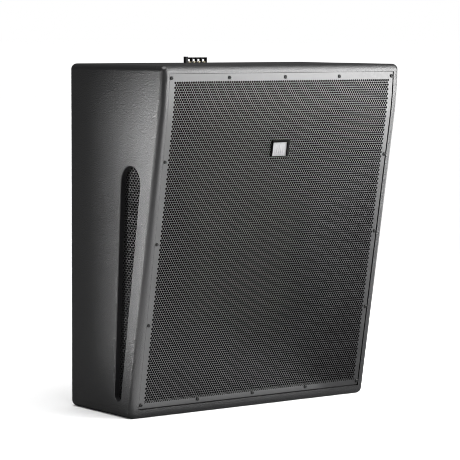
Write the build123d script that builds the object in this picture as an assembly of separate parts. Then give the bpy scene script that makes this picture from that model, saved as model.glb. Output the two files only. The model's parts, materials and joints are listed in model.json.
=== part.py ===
"""Wedge-fronted full-range loudspeaker: plywood cabinet, curved steel grille, side ports, drivers.

Millimetres, +Z up. X runs across the width and the front faces -Y. The origin is the middle of the
footprint's bounding rectangle, at the height of the flat underside.
"""
from build123d import *
import os
from math import acos, atan2, cos, hypot, pi, radians, sin, tan

os.makedirs("parts", exist_ok=True)

# ---------------------------------------------------------------- cabinet
WIDTH = 694.0
HEIGHT = 815.0
DEPTH_TOP = 388.0
TILT = 9.8  # lean of the straight part of the front, degrees
BEND_DROP = 132.0  # the front rolls from vertical to the full lean over this height
EDGE_R = 14.0  # round-over on every outer edge
SIDE_T = 19.0
TOP_T = 18.0
BOTTOM_T = 21.0
BACK_T = 18.0
BAFFLE_T = 18.0
BAFFLE_SET_BACK = 22.0  # behind the straight front plane
BRACE = 40.0  # square section of the brace and strut
BRACE_Z = 440.0
BRACE_Y = 90.0

# ---------------------------------------------------------------- grille
SHEET_T = 1.5
SHEET_INSET = 0.5  # sheet's outer face behind the cabinet's front edges
SEAM = 3.0  # gap between sheet and cabinet edge, on the right and at the bottom
SEAM_TIGHT = 0.8  # and on the left and at the top
BATTEN_WIDTH = 15.0  # on the side panels
RAIL_WIDTH = 18.0  # on the top and bottom panels
SEAM_DEPTH = 6.0  # groove behind the seam
FOAM_T = 4.0
FOAM_GAP = 0.3
SCREW_ROWS = 5
SCREW_COLUMNS = 5
SCREW_INSET_SIDE = 25.5
SCREW_INSET_TOP = 28.5
SCREW_INSET_BOTTOM = 33.0
SCREW_R = 2.5
SCREW_HOLE_R = 2.8
SCREW_HEAD_R = 4.5
SCREW_HEAD_H = 2.6
SCREWS_PROUD = 1.7  # the top row's heads stand this far in front of the cabinet
SCREW_HEAD_FLAT_R = 2.9
SCREW_HEAD_SIDE = 1.2
SCREW_SOCKET_R = 1.7
SCREW_SOCKET_FLOOR = 1.0
SCREW_LENGTH = 10.0
INSERT_R = 3.6
INSERT_LENGTH = 8.0
INSERT_SINK = 0.2  # below the face of the batten

# ---------------------------------------------------------------- badge
BADGE_WIDTH = 50.5
BADGE_HEIGHT = 39.5
BADGE_T = 5.0
BADGE_FACE_WIDTH = 42.0
BADGE_FACE_HEIGHT = 33.0
BADGE_FACE_X = -2.0  # the pocket sits towards the left and the lower edge
BADGE_FACE_UP = -1.8
BADGE_POCKET = 4.0
BADGE_PLATE_T = 1.0
BADGE_CORNER_R = 2.0
BADGE_POCKET_R = 1.2
BADGE_CHAMFER = 0.8
BADGE_UP = 630.0  # up the front from its lower edge

# ---------------------------------------------------------------- side ports
PORT_TOP_FROM_BACK = 259.5
PORT_TOP_Z = 545.0
PORT_TOP_R = 39.0
PORT_LOW_FROM_BACK = 205.5
PORT_LOW_Z = 51.0
PORT_LOW_R = 14.0
PORT_ROUND = 2.5  # round-over at the mouth
PORT_RECESS = 13.0  # outer surface to mesh
PORT_MESH_T = 1.0
PORT_LEDGE = 5.8  # the mesh and duct reach this far past the slot
DUCT_LENGTH = 75.0

# ---------------------------------------------------------------- terminal strip
TERMINAL_COUNT = 4
TERMINAL_PITCH = 14.3
TERMINAL_FROM_BACK = 29.0
TERMINAL_LEFT_X = -33.0
STRIP_DEPTH = 9.0
STRIP_BASE_T = 1.5
BARRIER_T = 2.4
BARRIER_H = 12.9
END_BLOCK_W = 6.6
END_BLOCK_H = 14.9
MARKER_BAR_Z = 8.6
MARKER_BAR_DEPTH = 3.2
CLAMP_SCREW_R = 1.5
CLAMP_HEAD_R = 2.5
CLAMP_HEAD_H = 1.7
CLAMP_SCREW_LENGTH = 12.0
CLAMP_SLOT_W = 0.8
CLAMP_SLOT_DEPTH = 0.8
CLAMP_PLATE_W = 9.2
CLAMP_PLATE_D = 5.6
CLAMP_PLATE_T = 0.8
CLAMP_FORWARD = 1.6  # screw's middle in front of the strip's
STUD_R = 3.0
STUD_BELOW_TOP = 8.0  # the stud shows this far inside the cabinet
STRIP_SCREW_R = 0.9
STRIP_SCREW_DEPTH = 8.0  # into the top panel
STRIP_SCREW_SINK = 0.2

# ---------------------------------------------------------------- woofer, 15 inch
WOOFER_UP = 245.0
WOOFER_R = 194.0
WOOFER_FLANGE_T = 8.0
WOOFER_CUTOUT_R = 177.0
WOOFER_SCREW_PCD_R = 185.5
WOOFER_SCREWS = 8
WOOFER_SCREW_START = 22.5  # degrees from level to the first screw
WOOFER_SCREW_R = 3.0
WOOFER_SCREW_HEAD_R = 5.0
WOOFER_SCREW_HEAD_H = 5.0
WOOFER_SCREW_SOCKET_R = 2.9
WOOFER_SCREW_LENGTH = 24.0
TEE_NUT_R = 4.5
TEE_NUT_FLANGE_R = 9.0
TEE_NUT_FLANGE_T = 1.5
TEE_NUT_LENGTH = 8.0
BASKET_DEPTH = 110.0
BASKET_WINDOWS = 8
GASKET_R = 193.0
GASKET_INNER_R = 179.0
GASKET_T = 3.0
SURROUND_R = 157.0  # middle of the half roll
SURROUND_ROLL_R = 6.0
SURROUND_T = 1.2
SURROUND_Z = -5.5
CONE_R = 150.0
CONE_RIM_Z = -10.0
CONE_NECK_Z = -68.0
CONE_T = 1.8
DUST_CAP_R = 50.0
DUST_CAP_Z = -60.0
DUST_CAP_RISE = 15.0
COIL_R = 38.0
COIL_LOW_Z = -128.0
WINDING_LOW_Z = -122.0
WINDING_HIGH_Z = -106.0
SPIDER_R = 93.0
SPIDER_Z = -96.0
SPIDER_WAVE = 1.6
SPIDER_T = 0.9
POLE_R = 36.8
POLE_VENT_R = 12.0
TOP_PLATE_R = 80.0
TOP_PLATE_T = 8.0
WOOFER_MAGNET_R = 105.0
WOOFER_MAGNET_INNER_R = 50.0
WOOFER_MAGNET_T = 20.0

# ---------------------------------------------------------------- horn and compression driver
HORN_UP = 640.0
HORN_WIDTH = 500.0
HORN_HEIGHT = 250.0
HORN_FLANGE_T = 8.0
HORN_MOUTH_W = 450.0
HORN_MOUTH_H = 200.0
HORN_WALL = 6.0
HORN_DEPTH = 150.0
HORN_WAIST_Z = -70.0
HORN_WAIST_W = 230.0
HORN_WAIST_H = 96.0
HORN_CORNER_R = 20.0
HORN_SCREW_R = 2.2
HORN_PILOT_R = 1.5
HORN_SCREW_HEAD_R = 4.5
HORN_SCREW_INSET = 9.0
THROAT_R = 18.0
DRIVER_R = 60.0
DRIVER_FLANGE_T = 8.0
DRIVER_BOLT_PCD_R = 51.0
DRIVER_BOLT_R = 3.0
DRIVER_BOLT_HEAD_R = 5.0
DRIVER_BOLT_HEAD_H = 4.0
DRIVER_BOLT_LENGTH = 20.0
POLE_PLATE_T = 10.0
HF_MAGNET_R = 58.0
HF_MAGNET_INNER_R = 34.0
HF_MAGNET_BACK_Z = -32.0
HF_TOP_PLATE_BACK_Z = -42.0
HF_POLE_R = 26.0
HF_POLE_BORE_R = 14.0
PLUG_FRONT_Z = -12.0
PLUG_R = 9.0
DIAPHRAGM_R = 27.2
DIAPHRAGM_Z = -44.0
DIAPHRAGM_RISE = -8.0
DIAPHRAGM_T = 0.8
REAR_COVER_Z = -64.0
REAR_COVER_T = 3.0

# ---------------------------------------------------------------- wall bracket inserts
BRACKET_SPACING_X = 254.0
BRACKET_SPACING_Z = 254.0
BRACKET_CENTRE_Z = 520.0
BRACKET_THREAD_R = 4.0  # M8
BRACKET_INSERT_R = 6.0
BRACKET_FLANGE_R = 11.0
BRACKET_FLANGE_T = 2.0

# ---------------------------------------------------------------- linings and crossover
LINING_T = 20.0
BACK_LINING_HALF_W = 280.0
BACK_LINING_LOW_Z = 290.0
LINING_TOP_Z = 760.0
SIDE_LINING_Y = (25.0, 150.0)
SIDE_LINING_SPANS = ((60.0, 435.0), (485.0, 760.0))  # leave the brace free
BOARD_X = (-112.0, 125.0)
BOARD_Z = (105.0, 195.0)
BOARD_T = 2.0
SPACER_LENGTH = 10.0
SPACER_R = 4.0
SPACER_INSET = 7.0
COIL_PLACES_X = (-70.0, 0.0)
AIR_COIL_R = 26.0
AIR_COIL_BORE_R = 12.0
AIR_COIL_LENGTH = 30.0
CAPACITOR_COUNT = 4
CAPACITOR_R = 7.3
CAPACITOR_LENGTH = 52.0
CAPACITOR_FIRST_X = 48.0
CAPACITOR_PITCH = 18.0

# ---------------------------------------------------------------- derived sizes
FRONT_Y = (SCREWS_PROUD - DEPTH_TOP) / 2
BACK_Y = FRONT_Y + DEPTH_TOP
PORT_TOP_Y = BACK_Y - PORT_TOP_FROM_BACK
PORT_LOW_Y = BACK_Y - PORT_LOW_FROM_BACK
TERMINAL_Y = BACK_Y - TERMINAL_FROM_BACK
LEAN = radians(TILT)
BEND_R = BEND_DROP / sin(LEAN)
BEND_LENGTH = BEND_R * LEAN
STRAIGHT_LENGTH = (HEIGHT - BEND_DROP) / cos(LEAN)
FRONT_LENGTH = BEND_LENGTH + STRAIGHT_LENGTH
LOW_FRONT_Y = FRONT_Y + BEND_DROP * tan(LEAN / 2) + (HEIGHT - BEND_DROP) * tan(LEAN)
INNER_X = WIDTH / 2 - SIDE_T
INNER_BACK_Y = BACK_Y - BACK_T
INNER_LOW_Z = BOTTOM_T
INNER_HIGH_Z = HEIGHT - TOP_T
SHEET_BACK = SHEET_INSET + SHEET_T
SHEET_LEFT_X = -INNER_X + SEAM_TIGHT
SHEET_RIGHT_X = INNER_X - SEAM
SHEET_LOW_Z = INNER_LOW_Z + SEAM
SHEET_HIGH_Z = INNER_HIGH_Z - SEAM_TIGHT
FIT_GAP = 0.1  # side clearance between glued or clamped pieces
SLACK = 1.0  # how far a cutting tool runs past what it cuts
BEYOND = 1500.0  # larger than the cabinet in every direction

# The straight part of the front: x across, y up the slope, z outwards.
FRONT = Plane(origin=(0, LOW_FRONT_Y, 0), x_dir=(1, 0, 0), z_dir=(0, -cos(LEAN), -sin(LEAN)))


# ---------------------------------------------------------------- helpers
def block(x0, x1, y0, y1, z0, z1):
    """Box between two corners."""
    centre = ((x0 + x1) / 2, (y0 + y1) / 2, (z0 + z1) / 2)
    return Pos(*centre) * Box(x1 - x0, y1 - y0, z1 - z0)


def turned(points):
    """Solid of revolution about Z from an outline of (radius, height) points."""
    outline = Plane.XZ * Polygon(*points, align=None)
    return revolve(outline, Axis.Z)


def disc(radius, low, high, x=0.0, y=0.0):
    """Cylinder along Z between two heights."""
    return Pos(x, y, (low + high) / 2) * Cylinder(radius, high - low)


def ring(outer, inner, low, high):
    """Plain ring along Z between two heights."""
    return disc(outer, low, high) - disc(inner, low - SLACK, high + SLACK)


def dome_shell(rim_r, rim_z, rise, thickness):
    """Spherical cap of even thickness about Z; a negative rise bulges downwards."""
    radius = (rim_r * rim_r + rise * rise) / (2 * abs(rise))
    side = 1 if rise > 0 else -1
    centre_z = rim_z + rise - side * radius
    shell = Pos(0, 0, centre_z) * (Sphere(radius) - Sphere(radius - thickness))
    reach = rim_z + side * 2 * abs(rise)
    return shell & disc(rim_r + 5, min(rim_z, reach), max(rim_z, reach))


def on_circle(count, radius, start=0.0):
    """Evenly spaced (x, y, angle in degrees) round a circle."""
    turns = [start + 360.0 * i / count for i in range(count)]
    return [(radius * cos(radians(a)), radius * sin(radians(a)), a) for a in turns]


def on_baffle(shape, up):
    """Moves a piece made about Z, with z = 0 at the baffle's front, to its place on the baffle."""
    return FRONT.location * Pos(0, up, -BAFFLE_SET_BACK) * shape


def front_curve(depth):
    """Front profile, in (y, z), at a depth behind the front face, from the top edge to below."""
    radius = BEND_R - depth
    centre_y = FRONT_Y + BEND_R
    top = (centre_y - radius, HEIGHT)
    middle = (centre_y - radius * cos(LEAN / 2), HEIGHT - radius * sin(LEAN / 2))
    bend_end = (centre_y - radius * cos(LEAN), HEIGHT - radius * sin(LEAN))
    return top, middle, bend_end


def below(point, low_z):
    """The point at height low_z straight down the lean from a (y, z) point."""
    return (point[0] + (point[1] - low_z) * tan(LEAN), low_z)


def front_layer(near, far, half_width, low_z, high_z):
    """Layer that follows the front between two depths behind it."""
    floor = -EDGE_R
    outer_top, outer_mid, outer_bend = front_curve(near)
    inner_top, inner_mid, inner_bend = front_curve(far)
    outer_low = below(outer_bend, floor)
    inner_low = below(inner_bend, floor)
    edges = [
        ThreePointArc(outer_top, outer_mid, outer_bend),
        Line(outer_bend, outer_low),
        Line(outer_low, inner_low),
        Line(inner_low, inner_bend),
        ThreePointArc(inner_bend, inner_mid, inner_top),
        Line(inner_top, outer_top),
    ]
    section = Plane.YZ * make_face(edges)
    layer = extrude(section, half_width, both=True)
    return layer & block(-WIDTH, WIDTH, -DEPTH_TOP, DEPTH_TOP, low_z, high_z)


def front_place(x, down):
    """Location on the front face, z outwards, at a distance down it from the top edge."""
    if down < BEND_LENGTH:
        turn = down / BEND_R
        y = FRONT_Y + BEND_R * (1 - cos(turn))
        z = HEIGHT - BEND_R * sin(turn)
    else:
        turn = LEAN
        rest = down - BEND_LENGTH
        y = FRONT_Y + BEND_DROP * tan(LEAN / 2) + rest * sin(LEAN)
        z = HEIGHT - BEND_DROP - rest * cos(LEAN)
    return Plane(origin=(x, y, z), x_dir=(1, 0, 0), z_dir=(0, -cos(turn), -sin(turn))).location


def port_outline(grow):
    """Tapered slot between two circles, in the YZ plane, grown outwards all round."""
    top_r = PORT_TOP_R + grow
    low_r = PORT_LOW_R + grow
    span_y = PORT_LOW_Y - PORT_TOP_Y
    span_z = PORT_LOW_Z - PORT_TOP_Z
    axis = atan2(span_z, span_y)
    spread = acos((top_r - low_r) / hypot(span_y, span_z))

    def at(y, z, radius, angle):
        return (y + radius * cos(angle), z + radius * sin(angle))

    top_a = at(PORT_TOP_Y, PORT_TOP_Z, top_r, axis + spread)
    top_mid = at(PORT_TOP_Y, PORT_TOP_Z, top_r, axis + pi)
    top_b = at(PORT_TOP_Y, PORT_TOP_Z, top_r, axis - spread)
    low_a = at(PORT_LOW_Y, PORT_LOW_Z, low_r, axis + spread)
    low_mid = at(PORT_LOW_Y, PORT_LOW_Z, low_r, axis)
    low_b = at(PORT_LOW_Y, PORT_LOW_Z, low_r, axis - spread)
    edges = [
        ThreePointArc(top_a, top_mid, top_b),
        Line(top_b, low_b),
        ThreePointArc(low_b, low_mid, low_a),
        Line(low_a, top_a),
    ]
    return make_face(edges)


def port_prism(grow, x0, x1):
    """The port's outline carried between two distances out from the middle, on the left (-X)."""
    face = Plane.YZ.offset(-x1) * port_outline(grow)
    return extrude(face, x1 - x0)


def mirrored(shape):
    """The same piece on the right-hand side."""
    return mirror(shape, about=Plane.YZ)


# ---------------------------------------------------------------- cabinet
def rounded_envelope():
    """The closed outer shape of the cabinet with every outer edge rounded."""
    top, middle, bend_end = front_curve(0.0)
    low = below(bend_end, 0.0)
    edges = [
        ThreePointArc(top, middle, bend_end),
        Line(bend_end, low),
        Line(low, (BACK_Y, 0.0)),
        Line((BACK_Y, 0.0), (BACK_Y, HEIGHT)),
        Line((BACK_Y, HEIGHT), top),
    ]
    body = extrude(Plane.YZ * make_face(edges), WIDTH / 2, both=True)
    bend_line_z = HEIGHT - BEND_DROP
    sharp = [e for e in body.edges() if not is_bend_line(e, bend_line_z)]
    return fillet(sharp, EDGE_R)


def is_bend_line(edge, z):
    """True for the smooth line where the rolled and straight parts of the front meet."""
    middle = edge.center()
    return abs(middle.X) < 1 and abs(middle.Z - z) < 1


def side_panel(envelope):
    """Left side: full profile, with the tapered port slot and the rebate that holds its mesh."""
    outer = WIDTH / 2
    panel = envelope & block(-outer, -INNER_X, -DEPTH_TOP, DEPTH_TOP, -SLACK, HEIGHT + SLACK)
    panel -= port_prism(0.0, INNER_X - SLACK, outer + SLACK)
    panel -= port_prism(PORT_LEDGE + FIT_GAP, INNER_X - SLACK, outer - PORT_RECESS)
    mouth = [e for e in panel.edges() if is_port_mouth(e)]
    return fillet(mouth, PORT_ROUND)


def is_port_mouth(edge):
    """True for an edge of the port slot on the outer face."""
    box = edge.bounding_box()
    on_face = abs(box.min.X + WIDTH / 2) < 0.01 and abs(box.max.X + WIDTH / 2) < 0.01
    margin = PORT_ROUND * 2
    above_low_end = box.min.Z > PORT_LOW_Z - PORT_LOW_R - margin
    below_top_end = box.max.Z < PORT_TOP_Z + PORT_TOP_R + margin
    before_back = box.max.Y < PORT_LOW_Y + PORT_LOW_R + margin
    behind_front = box.min.Y > PORT_TOP_Y - PORT_TOP_R - margin
    return on_face and above_low_end and below_top_end and before_back and behind_front


def between_sides(envelope, y0, y1, z0, z1):
    """A board between the side panels that shares the rounded outer shape."""
    return envelope & block(-INNER_X, INNER_X, y0, y1, z0, z1)


def stud_places():
    """Middle of each terminal, as (x, y)."""
    first = TERMINAL_LEFT_X + END_BLOCK_W + (TERMINAL_PITCH - BARRIER_T) / 2
    screw_y = TERMINAL_Y - CLAMP_FORWARD
    return [(first + i * TERMINAL_PITCH, screw_y) for i in range(TERMINAL_COUNT)]


def strip_fixing_places():
    """The strip's two fixing screws, under its end barriers, as (x, y)."""
    right_x = TERMINAL_LEFT_X + END_BLOCK_W + TERMINAL_COUNT * TERMINAL_PITCH - BARRIER_T / 2
    return [(TERMINAL_LEFT_X + END_BLOCK_W / 2, TERMINAL_Y), (right_x, TERMINAL_Y)]


def top_panel(envelope):
    """Top board, bored for the terminal studs and the strip's fixing screws."""
    panel = between_sides(envelope, -DEPTH_TOP, DEPTH_TOP, INNER_HIGH_Z, HEIGHT + SLACK)
    for x, y in stud_places():
        panel -= disc(STUD_R + FIT_GAP, INNER_HIGH_Z - SLACK, HEIGHT + SLACK, x, y)
    for x, y in strip_fixing_places():
        bore_low = HEIGHT - STRIP_SCREW_DEPTH - 1
        panel -= disc(STRIP_SCREW_R + FIT_GAP / 2, bore_low, HEIGHT + SLACK, x, y)
    return panel


def bottom_panel(envelope):
    """Bottom board, whose underside is the face that the cabinet stands on."""
    return between_sides(envelope, -DEPTH_TOP, DEPTH_TOP, -SLACK, BOTTOM_T)


def bracket_places():
    """Wall bracket inserts in the back panel, as (x, z)."""
    half_x = BRACKET_SPACING_X / 2
    half_z = BRACKET_SPACING_Z / 2
    return [(x, BRACKET_CENTRE_Z + z) for x in (-half_x, half_x) for z in (-half_z, half_z)]


def along_y(radius, y0, y1, x, z):
    """Cylinder along Y between two depths."""
    return Pos(x, (y0 + y1) / 2, z) * Rot(90, 0, 0) * Cylinder(radius, y1 - y0)


def back_panel(envelope):
    """Upright back board, bored for the wall bracket inserts."""
    panel = between_sides(envelope, INNER_BACK_Y, DEPTH_TOP, INNER_LOW_Z, INNER_HIGH_Z)
    for x, z in bracket_places():
        bore_r = BRACKET_INSERT_R + FIT_GAP
        panel -= along_y(bore_r, INNER_BACK_Y - SLACK, BACK_Y + SLACK, x, z)
    return panel


def wall_bracket_inserts():
    """Four M8 threaded sleeves, flush with the back, each with a flange inside the cabinet."""
    inserts = []
    for x, z in bracket_places():
        flange_y = INNER_BACK_Y - BRACKET_FLANGE_T
        sleeve = along_y(BRACKET_INSERT_R, INNER_BACK_Y, BACK_Y, x, z)
        sleeve += along_y(BRACKET_FLANGE_R, flange_y, INNER_BACK_Y, x, z)
        sleeve -= along_y(BRACKET_THREAD_R, flange_y - SLACK, BACK_Y + SLACK, x, z)
        inserts.append(sleeve)
    return inserts


def baffle_slab(front, back):
    """Everything between two depths behind the baffle's front."""
    slab = block(-BEYOND, BEYOND, -BEYOND, BEYOND, -back, -front)
    return FRONT.location * Pos(0, 0, -BAFFLE_SET_BACK) * slab


def front_baffle():
    """Flat board behind the grille, parallel to the straight front, cut for woofer and horn."""
    board = block(-INNER_X, INNER_X, -DEPTH_TOP, INNER_BACK_Y, INNER_LOW_Z, INNER_HIGH_Z)
    board &= baffle_slab(0, BAFFLE_T)
    return board - on_baffle(woofer_cutout(), WOOFER_UP) - on_baffle(horn_cutout(), HORN_UP)


def woofer_cutout():
    """Stepped hole for the basket and its flush flange, with a bore for each tee nut."""
    hole = disc(WOOFER_CUTOUT_R, -BAFFLE_T - SLACK, SLACK)
    hole += disc(WOOFER_R + 0.5, -WOOFER_FLANGE_T, SLACK)
    for x, y, _ in on_circle(WOOFER_SCREWS, WOOFER_SCREW_PCD_R, WOOFER_SCREW_START):
        hole += disc(TEE_NUT_R + FIT_GAP, -BAFFLE_T - SLACK, -WOOFER_FLANGE_T, x, y)
    return hole


def horn_cutout():
    """Stepped hole for the horn and its flush flange, with a pilot bore for each screw."""
    mouth_x = HORN_MOUTH_W / 2 + HORN_WALL + 2
    mouth_y = HORN_MOUTH_H / 2 + HORN_WALL + 2
    flange_x = HORN_WIDTH / 2 + 0.5
    flange_y = HORN_HEIGHT / 2 + 0.5
    hole = block(-mouth_x, mouth_x, -mouth_y, mouth_y, -BAFFLE_T - SLACK, SLACK)
    hole += block(-flange_x, flange_x, -flange_y, flange_y, -HORN_FLANGE_T, SLACK)
    for x, y in horn_screw_places():
        hole += disc(HORN_PILOT_R + FIT_GAP, -BAFFLE_T + 2, -HORN_FLANGE_T, x, y)
    return hole


def batten(x0, x1, low_z, high_z):
    """Strip of wood between the grille and the baffle, glued to the cabinet wall."""
    strip = front_layer(SHEET_BACK, BAFFLE_SET_BACK + SLACK, WIDTH / 2, low_z, high_z)
    strip &= block(x0, x1, -DEPTH_TOP, DEPTH_TOP, low_z, high_z)
    return strip & baffle_slab(-BEYOND, 0)


def over_sheet():
    """Block that covers the grille's outline and runs through the cabinet."""
    return block(SHEET_LEFT_X, SHEET_RIGHT_X, -DEPTH_TOP, DEPTH_TOP, SHEET_LOW_Z, SHEET_HIGH_Z)


def seam_groove():
    """Groove all round the grille's edge that keeps the seam dark."""
    layer = front_layer(SHEET_BACK - SLACK, SHEET_BACK + SEAM_DEPTH, WIDTH / 2, 0, HEIGHT)
    return layer - over_sheet()


def grille_screw_places():
    """Places of the screws round the grille's border, z outwards."""
    reach_x = WIDTH / 2 - SCREW_INSET_SIDE
    step_x = 2 * reach_x / (SCREW_COLUMNS - 1)
    step_down = (FRONT_LENGTH - SCREW_INSET_TOP - SCREW_INSET_BOTTOM) / (SCREW_ROWS - 1)
    places = []
    for row in range(SCREW_ROWS):
        for column in range(SCREW_COLUMNS):
            inside = 0 < row < SCREW_ROWS - 1 and 0 < column < SCREW_COLUMNS - 1
            if not inside:
                x = -reach_x + column * step_x
                places.append(front_place(x, SCREW_INSET_TOP + row * step_down))
    return places


def battens():
    """The four strips that carry the grille, bored for the screws' threaded inserts."""
    strip_x = INNER_X - BATTEN_WIDTH
    low = INNER_LOW_Z
    high = INNER_HIGH_Z
    strips = {
        "left_grille_batten": batten(-INNER_X, -strip_x, low, high),
        "right_grille_batten": batten(strip_x, INNER_X, low, high),
        "top_grille_batten": batten(-strip_x, strip_x, high - RAIL_WIDTH, high),
        "bottom_grille_batten": batten(-strip_x, strip_x, low, low + RAIL_WIDTH),
    }
    groove = seam_groove()
    bore = disc(INSERT_R + FIT_GAP, -SHEET_BACK - SCREW_LENGTH, SLACK)
    bores = [place * bore for place in grille_screw_places()]
    return {name: strip - groove - bores for name, strip in strips.items()}


def cross_brace():
    """Square bar between the side panels, behind the gap between woofer and horn."""
    return block(-INNER_X, INNER_X, BRACE_Y, BRACE_Y + BRACE, BRACE_Z, BRACE_Z + BRACE)


def baffle_strut():
    """Bar from the baffle's back to the cross brace."""
    bar = block(-BRACE / 2, BRACE / 2, -DEPTH_TOP, BRACE_Y, BRACE_Z, BRACE_Z + BRACE)
    return bar & baffle_slab(BAFFLE_T, BEYOND)


def linings():
    """Wadding on the inside of the back and sides, in pieces that leave the braces free."""
    front_y = INNER_BACK_Y - LINING_T
    half_w = BACK_LINING_HALF_W
    back = block(-half_w, half_w, front_y, INNER_BACK_Y, BACK_LINING_LOW_Z, LINING_TOP_Z)
    for x, z in bracket_places():
        back -= along_y(BRACKET_FLANGE_R + 1, front_y - SLACK, INNER_BACK_Y + SLACK, x, z)
    near_y, far_y = SIDE_LINING_Y
    left = [
        block(-INNER_X, -INNER_X + LINING_T, near_y, far_y, low_z, high_z)
        for low_z, high_z in SIDE_LINING_SPANS
    ]
    right = [mirrored(pad) for pad in left]
    return {"back_lining": back, "left_lining": left, "right_lining": right}


# ---------------------------------------------------------------- grille and badge
def front_grille():
    """Steel sheet rolled to the front's curve, with a clearance hole for each screw."""
    sheet = front_layer(SHEET_INSET, SHEET_BACK, INNER_X, INNER_LOW_Z, INNER_HIGH_Z) & over_sheet()
    hole = disc(SCREW_HOLE_R, -SHEET_BACK - SLACK, SLACK)
    return sheet - [place * hole for place in grille_screw_places()]


def grille_foam():
    """Open-cell foam behind the sheet, inside the battens."""
    near = SHEET_BACK + FOAM_GAP
    half = INNER_X - BATTEN_WIDTH - SLACK
    low = INNER_LOW_Z + RAIL_WIDTH + SLACK
    high = INNER_HIGH_Z - RAIL_WIDTH - SLACK
    return front_layer(near, near + FOAM_T, half, low, high)


def grille_screw():
    """Button-head screw with a hexagon socket, head's seat at z = 0."""
    outline = [
        (0, 0),
        (SCREW_HEAD_R, 0),
        (SCREW_HEAD_R - 0.4, SCREW_HEAD_SIDE),
        (SCREW_HEAD_FLAT_R, SCREW_HEAD_H),
        (0, SCREW_HEAD_H),
    ]
    socket = extrude(RegularPolygon(SCREW_SOCKET_R, 6), SCREW_HEAD_H + SLACK)
    socket &= disc(SCREW_HEAD_R, SCREW_SOCKET_FLOOR, SCREW_HEAD_H + SLACK)
    return turned(outline) - socket + disc(SCREW_R, -SCREW_LENGTH, 0)


def grille_screw_insert():
    """Threaded sleeve for one grille screw."""
    top = -SHEET_BACK - INSERT_SINK
    bore = disc(SCREW_R + FIT_GAP / 2, top - INSERT_LENGTH - SLACK, SLACK)
    return disc(INSERT_R, top - INSERT_LENGTH, top) - bore


def badge_base():
    """Place of the badge on the grille's outer face, z outwards."""
    return FRONT.location * Pos(0, BADGE_UP, -SHEET_INSET)


def badge_frame():
    """Moulded frame with a recessed pocket for the plate."""
    body = extrude(RectangleRounded(BADGE_WIDTH, BADGE_HEIGHT, BADGE_CORNER_R), BADGE_T)
    body = chamfer(body.faces().sort_by(Axis.Z)[-1].edges(), BADGE_CHAMFER)
    pocket = badge_pocket(0.0, BADGE_POCKET + SLACK)
    return badge_base() * (body - Pos(0, 0, BADGE_T - BADGE_POCKET) * pocket)


def badge_pocket(shrink, depth):
    """Solid with the pocket's outline, standing on z = 0."""
    width = BADGE_FACE_WIDTH - 2 * shrink
    height = BADGE_FACE_HEIGHT - 2 * shrink
    outline = Pos(BADGE_FACE_X, BADGE_FACE_UP) * RectangleRounded(width, height, BADGE_POCKET_R)
    return extrude(outline, depth)


def badge_plate():
    """Thin metal plate on the floor of the frame's pocket."""
    plate = badge_pocket(FIT_GAP, BADGE_PLATE_T)
    return badge_base() * Pos(0, 0, BADGE_T - BADGE_POCKET) * plate


# ---------------------------------------------------------------- side ports
def port_mesh():
    """Left port's sheet, seated against the back of the recess."""
    outer = WIDTH / 2 - PORT_RECESS
    return port_prism(PORT_LEDGE, outer - PORT_MESH_T, outer)


def port_duct():
    """Left port's moulded duct, which holds the mesh in its rebate."""
    outer = WIDTH / 2 - PORT_RECESS - PORT_MESH_T
    shell = port_prism(PORT_LEDGE, outer - DUCT_LENGTH, outer)
    return shell - port_prism(0.0, outer - DUCT_LENGTH - SLACK, outer + SLACK)


# ---------------------------------------------------------------- terminal strip
def terminal_strip_body():
    """Thin base with five barriers, the left one a wider and taller end block."""
    half = STRIP_DEPTH / 2
    y0 = TERMINAL_Y - half
    y1 = TERMINAL_Y + half
    first_gap = TERMINAL_LEFT_X + END_BLOCK_W
    right_x = first_gap + TERMINAL_COUNT * TERMINAL_PITCH
    body = block(TERMINAL_LEFT_X, right_x, y0, y1, HEIGHT, HEIGHT + STRIP_BASE_T)
    body += block(TERMINAL_LEFT_X, first_gap, y0, y1, HEIGHT, HEIGHT + END_BLOCK_H)
    bar_y = y1 - MARKER_BAR_DEPTH - FIT_GAP
    for i in range(1, TERMINAL_COUNT + 1):
        barrier_right = first_gap + i * TERMINAL_PITCH
        barrier_left = barrier_right - BARRIER_T
        body += block(barrier_left, barrier_right, y0, y1, HEIGHT, HEIGHT + BARRIER_H)
        seat_x = (barrier_left - SLACK, barrier_right + SLACK)
        seat_z = (HEIGHT + MARKER_BAR_Z, HEIGHT + BARRIER_H + SLACK)
        body -= block(*seat_x, bar_y, y1 + SLACK, *seat_z)
    for x, y in stud_places():
        body -= disc(STUD_R + FIT_GAP, HEIGHT - SLACK, HEIGHT + STRIP_BASE_T + SLACK, x, y)
    for x, y in strip_fixing_places():
        body -= disc(STRIP_SCREW_R + 0.2, HEIGHT - SLACK, HEIGHT + END_BLOCK_H + SLACK, x, y)
    return body


def terminal_marker_bar():
    """Bar across the tops of the barriers, along the back of the strip."""
    y1 = TERMINAL_Y + STRIP_DEPTH / 2
    x0 = TERMINAL_LEFT_X + END_BLOCK_W
    x1 = x0 + TERMINAL_COUNT * TERMINAL_PITCH
    bar = block(x0, x1, y1 - MARKER_BAR_DEPTH, y1, HEIGHT + MARKER_BAR_Z, HEIGHT + BARRIER_H)
    return chamfer(bar.faces().sort_by(Axis.Z)[-1].edges().filter_by(Axis.X), 0.5)


def terminal_contacts():
    """Brass clamp plate on a tapped stud that passes down through the top panel."""
    contacts = []
    plate_low = HEIGHT + STRIP_BASE_T
    for x, y in stud_places():
        plate_z = plate_low + CLAMP_PLATE_T / 2
        stud = disc(STUD_R, INNER_HIGH_Z - STUD_BELOW_TOP, plate_low, x, y)
        plate = Pos(x, y + FIT_GAP, plate_z) * Box(CLAMP_PLATE_W, CLAMP_PLATE_D, CLAMP_PLATE_T)
        bore = disc(CLAMP_SCREW_R + FIT_GAP / 2, INNER_HIGH_Z, HEIGHT + BARRIER_H, x, y)
        contacts.append(stud + plate - bore)
    return contacts


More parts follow.
